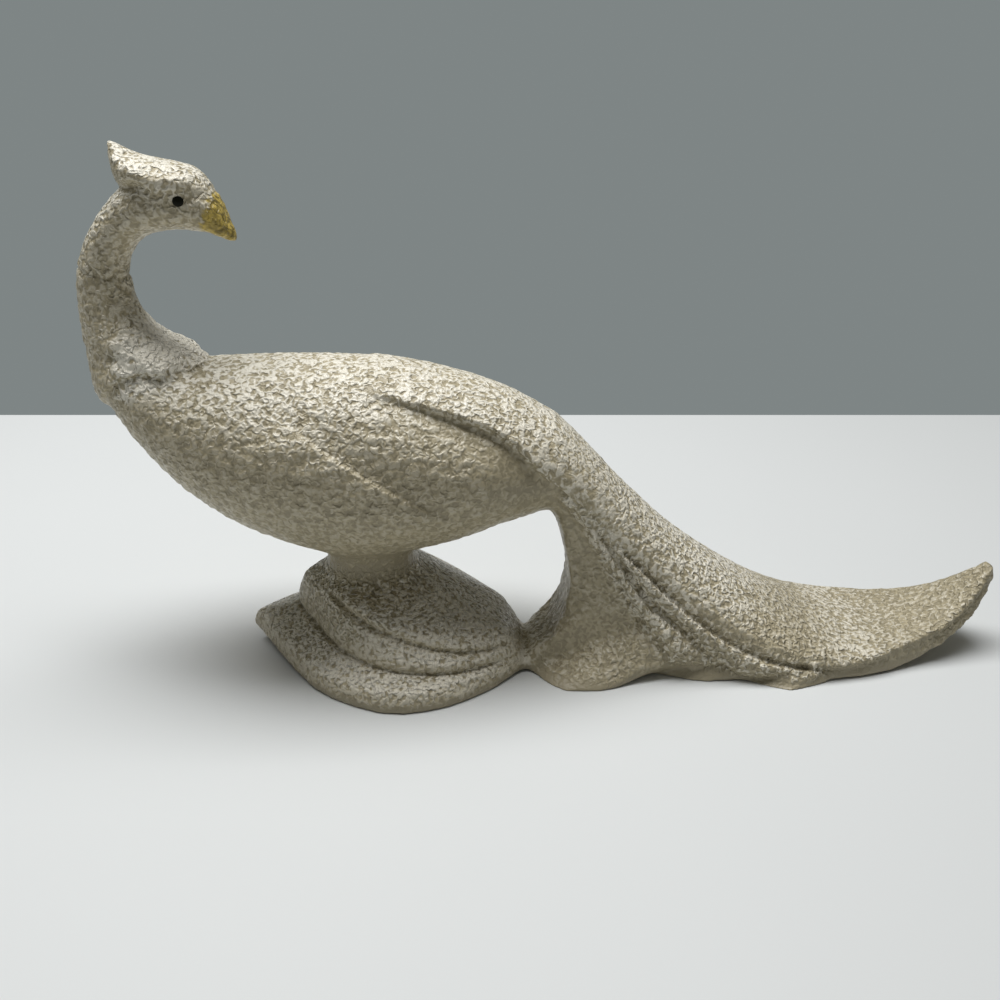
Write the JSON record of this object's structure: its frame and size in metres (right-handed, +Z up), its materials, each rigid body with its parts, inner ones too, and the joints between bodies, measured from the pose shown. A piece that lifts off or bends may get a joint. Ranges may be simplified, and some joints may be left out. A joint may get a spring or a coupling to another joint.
{
  "type": "peacock figurine",
  "caption": "Slip-cast peacock ornament with a curled neck, a crest, a leaf-shaped foot under a short stem and a long train that sweeps down to the table and lifts at its tip.",
  "frame": {"origin": "on the table, under the middle of the overall box", "axes": "+X from the breast to the tail's tip, +Y to the bird's right, +Z up"},
  "size_m": [0.3505, 0.1061, 0.1964],
  "materials": {
    "glaze": "satin",
    "gilt": "satin",
    "enamel": "gloss"
  },
  "bodies": {
    "root": {"body_shell": "glaze", "neck_shell": "glaze", "head_shell": "glaze", "beak": "gilt", "crest": "glaze", "left_eye": "enamel", "right_eye": "enamel", "stem": "glaze", "foot_lower_leaf": "glaze", "foot_middle_leaf": "glaze", "foot_upper_leaf": "glaze", "tail_shell": "glaze", "train_leaf": "glaze", "left_upper_rib": "glaze", "left_lower_rib": "glaze", "right_upper_rib": "glaze", "right_lower_rib": "glaze"}
  },
  "joints": []
}
